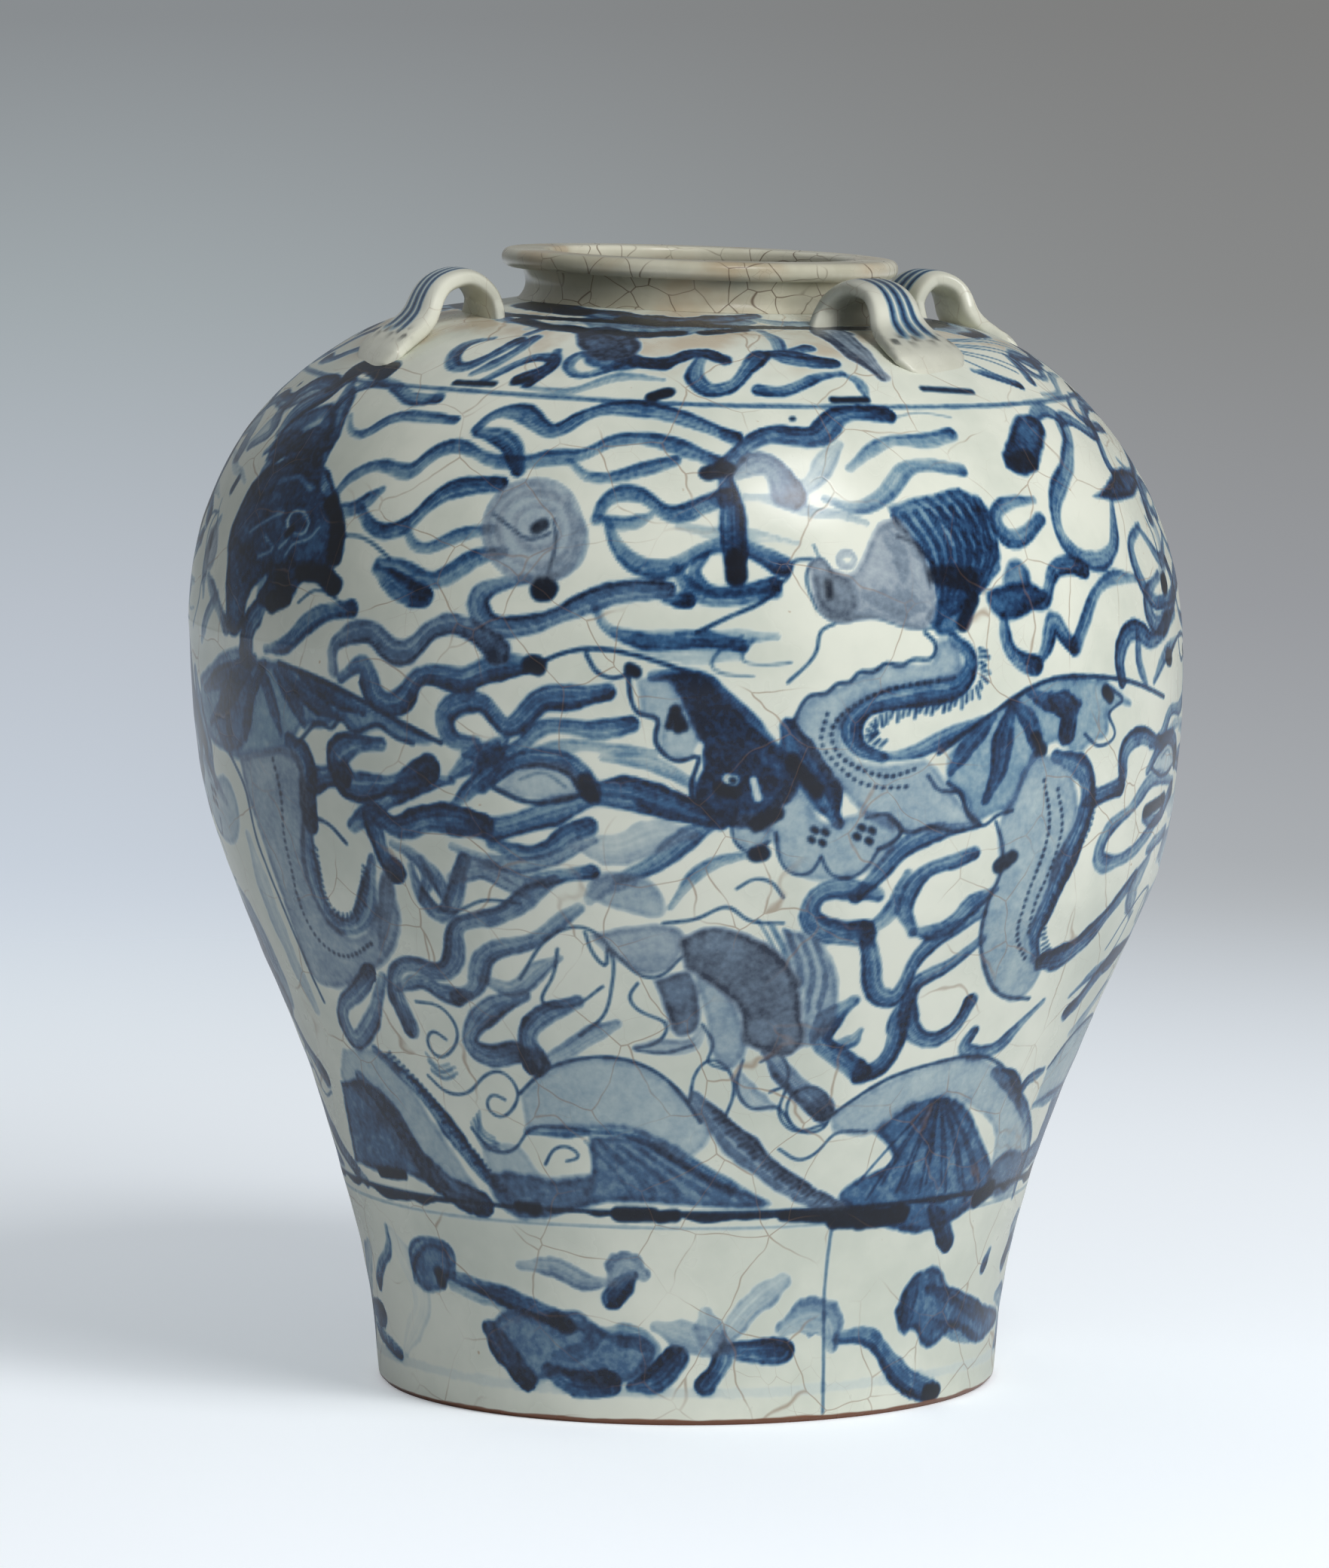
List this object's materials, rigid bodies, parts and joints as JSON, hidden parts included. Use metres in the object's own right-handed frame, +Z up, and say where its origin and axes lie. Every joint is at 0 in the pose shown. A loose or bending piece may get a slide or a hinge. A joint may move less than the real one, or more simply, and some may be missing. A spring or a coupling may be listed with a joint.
{
  "type": "storage jar",
  "caption": "Tall glazed stoneware storage jar with a swelling shoulder, short rolled mouth and strap loops for tying a cover down.",
  "frame": {"origin": "centre of the foot, on the ground", "axes": "+Z up; -Y is the front that the picture shows; +X is the side that the upper body leans towards"},
  "size_m": [0.3012, 0.3012, 0.3443],
  "materials": {
    "painted_glaze": "glossy off-white glaze over brushed cobalt blue",
    "plain_glaze": "glossy cream glaze with brown crackle",
    "lug_glaze": "glossy glaze with blue stripes",
    "bare_clay": "unglazed fired clay"
  },
  "bodies": {
    "root": {"base_slab": "bare_clay", "lower_body": "painted_glaze", "upper_body": "painted_glaze", "neck_collar": "plain_glaze", "rolled_lip": "plain_glaze", "lug_front_left": "lug_glaze", "lug_front_right": "lug_glaze", "lug_rear_right": "lug_glaze", "lug_rear_left": "lug_glaze"}
  },
  "joints": []
}
